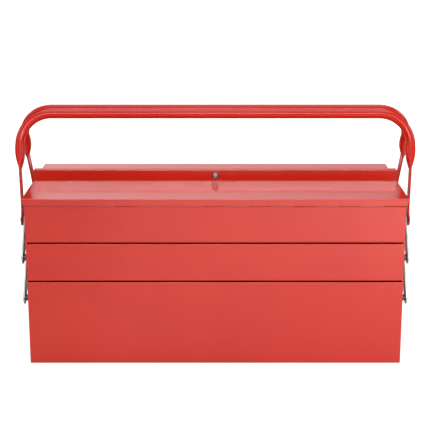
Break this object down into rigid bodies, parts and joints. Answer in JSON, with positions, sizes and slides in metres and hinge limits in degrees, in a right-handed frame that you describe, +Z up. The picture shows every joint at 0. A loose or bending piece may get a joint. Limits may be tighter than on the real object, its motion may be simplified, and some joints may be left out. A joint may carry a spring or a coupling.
{
  "type": "cantilever tool box",
  "caption": "Sheet-steel tool box with two tiers of half-depth trays that swing apart on parallel arms, hinged lids with a padlock ridge, and twin tube handles.",
  "frame": {"origin": "middle of the base, on the surface that the box stands on", "axes": "+X along the box's width, front faces -Y, +Z up"},
  "size_m": [0.5794, 0.2056, 0.3569],
  "materials": {
    "painted_sheet": "gloss enamel",
    "painted_tube": "gloss enamel",
    "zinc_arm": "zinc plated, satin",
    "rivet_steel": "zinc plated, satin",
    "hinge_metal": "painted over with the tray",
    "eyelet_metal": "nickel plated"
  },
  "bodies": {
    "base": {"bottom_tray": "painted_sheet", "bottom_rivets": "rivet_steel", "bottom_spacers": "rivet_steel"},
    "front_long_arms": {"front_left_long_arm": "zinc_arm", "front_right_long_arm": "zinc_arm"},
    "front_middle": {"front_middle_tray": "painted_sheet", "front_middle_rivets": "rivet_steel", "front_middle_spacers": "rivet_steel"},
    "front_top": {"front_top_tray": "painted_sheet", "front_top_rivets": "rivet_steel", "front_top_spacers": "rivet_steel", "front_handle_washers": "rivet_steel", "front_hinge_leaf": "hinge_metal", "front_hinge_pin": "rivet_steel"},
    "front_lower_arms": {"front_left_lower_arm": "zinc_arm", "front_right_lower_arm": "zinc_arm"},
    "front_upper_arms": {"front_left_upper_arm": "zinc_arm", "front_right_upper_arm": "zinc_arm"},
    "front_lid_body": {"front_lid": "painted_sheet", "front_eyelet": "eyelet_metal"},
    "front_handle_body": {"front_handle": "painted_tube"},
    "rear_long_arms": {"rear_left_long_arm": "zinc_arm", "rear_right_long_arm": "zinc_arm"},
    "rear_middle": {"rear_middle_tray": "painted_sheet", "rear_middle_rivets": "rivet_steel", "rear_middle_spacers": "rivet_steel"},
    "rear_top": {"rear_top_tray": "painted_sheet", "rear_top_rivets": "rivet_steel", "rear_top_spacers": "rivet_steel", "rear_handle_washers": "rivet_steel", "rear_hinge_leaf": "hinge_metal", "rear_hinge_pin": "rivet_steel"},
    "rear_lower_arms": {"rear_left_lower_arm": "zinc_arm", "rear_right_lower_arm": "zinc_arm"},
    "rear_upper_arms": {"rear_left_upper_arm": "zinc_arm", "rear_right_upper_arm": "zinc_arm"},
    "rear_lid_body": {"rear_lid": "painted_sheet", "rear_eyelet": "eyelet_metal"},
    "rear_handle_body": {"rear_handle": "painted_tube"}
  },
  "joints": [
    {"name": "front_spread", "type": "hinge", "parent": "base", "child": "front_long_arms", "pos_m": [0, -0.0685, 0.0965], "axis": [1, 0, 0], "range_deg": [0, 65.1]},
    {"name": "front_middle_level", "type": "hinge", "parent": "front_long_arms", "child": "front_middle", "pos_m": [0, -0.0385, 0.1435], "axis": [1, 0, 0], "range_deg": [-65.1, 0]},
    {"name": "front_top_level", "type": "hinge", "parent": "front_long_arms", "child": "front_top", "pos_m": [0, -0.0085, 0.1905], "axis": [1, 0, 0], "range_deg": [-65.1, 0]},
    {"name": "front_lower_swing", "type": "hinge", "parent": "base", "child": "front_lower_arms", "pos_m": [0, -0.089, 0.0965], "axis": [1, 0, 0], "range_deg": [0, 65.1]},
    {"name": "front_upper_swing", "type": "hinge", "parent": "front_middle", "child": "front_upper_arms", "pos_m": [0, -0.089, 0.1567], "axis": [1, 0, 0], "range_deg": [0, 65.1]},
    {"name": "front_lid_hinge", "type": "hinge", "parent": "front_top", "child": "front_lid_body", "pos_m": [0, -0.1016, 0.2342], "axis": [1, 0, 0], "range_deg": [0, 175]},
    {"name": "front_handle_pivot", "type": "hinge", "parent": "front_top", "child": "front_handle_body", "pos_m": [0, -0.059, 0.2037], "axis": [1, 0, 0], "range_deg": [0, 180]},
    {"name": "rear_spread", "type": "hinge", "parent": "base", "child": "rear_long_arms", "pos_m": [0, 0.0685, 0.0965], "axis": [-1, 0, 0], "range_deg": [0, 65.1]},
    {"name": "rear_middle_level", "type": "hinge", "parent": "rear_long_arms", "child": "rear_middle", "pos_m": [0, 0.0385, 0.1435], "axis": [-1, 0, 0], "range_deg": [-65.1, 0]},
    {"name": "rear_top_level", "type": "hinge", "parent": "rear_long_arms", "child": "rear_top", "pos_m": [0, 0.0085, 0.1905], "axis": [-1, 0, 0], "range_deg": [-65.1, 0]},
    {"name": "rear_lower_swing", "type": "hinge", "parent": "base", "child": "rear_lower_arms", "pos_m": [0, 0.089, 0.0965], "axis": [-1, 0, 0], "range_deg": [0, 65.1]},
    {"name": "rear_upper_swing", "type": "hinge", "parent": "rear_middle", "child": "rear_upper_arms", "pos_m": [0, 0.089, 0.1567], "axis": [-1, 0, 0], "range_deg": [0, 65.1]},
    {"name": "rear_lid_hinge", "type": "hinge", "parent": "rear_top", "child": "rear_lid_body", "pos_m": [0, 0.1016, 0.2342], "axis": [-1, 0, 0], "range_deg": [0, 175]},
    {"name": "rear_handle_pivot", "type": "hinge", "parent": "rear_top", "child": "rear_handle_body", "pos_m": [0, 0.059, 0.2037], "axis": [-1, 0, 0], "range_deg": [0, 176]}
  ],
  "couplings": [
    {"joint": "front_middle_level", "follows": "front_spread", "ratio": -1},
    {"joint": "front_top_level", "follows": "front_spread", "ratio": -1},
    {"joint": "front_lower_swing", "follows": "front_spread", "ratio": 1},
    {"joint": "front_upper_swing", "follows": "front_spread", "ratio": 1},
    {"joint": "rear_middle_level", "follows": "rear_spread", "ratio": -1},
    {"joint": "rear_top_level", "follows": "rear_spread", "ratio": -1},
    {"joint": "rear_lower_swing", "follows": "rear_spread", "ratio": 1},
    {"joint": "rear_upper_swing", "follows": "rear_spread", "ratio": 1}
  ]
}
